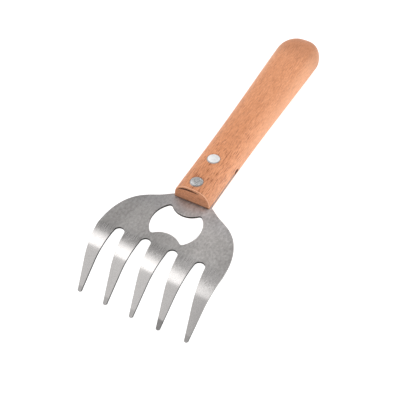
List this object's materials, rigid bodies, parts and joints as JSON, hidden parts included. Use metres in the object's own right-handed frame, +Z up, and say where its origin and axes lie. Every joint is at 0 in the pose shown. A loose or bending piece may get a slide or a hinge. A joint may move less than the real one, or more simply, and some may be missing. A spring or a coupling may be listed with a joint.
{
  "type": "claw fork with bottle opener",
  "caption": "Hand claw fork: bent steel blade with tines and a cap opener, tang riveted into a sawn wooden handle.",
  "frame": {"origin": "middle of the bounding box in plan, on the table that the tine tips and the end of the handle rest on", "axes": "+X along the handle towards the tines, +Y across the blade, +Z up from the table"},
  "size_m": [0.221, 0.075, 0.0301],
  "materials": {
    "steel": "finely brushed stainless sheet, brighter over the bend",
    "wood": "oiled close-grained hardwood with short dark pores, satin",
    "rivet": "turned and polished"
  },
  "bodies": {
    "root": {"blade": "steel", "handle": "wood", "front_rivet_post": "rivet", "front_rivet_sleeve": "rivet", "rear_rivet_post": "rivet", "rear_rivet_sleeve": "rivet"}
  },
  "joints": []
}
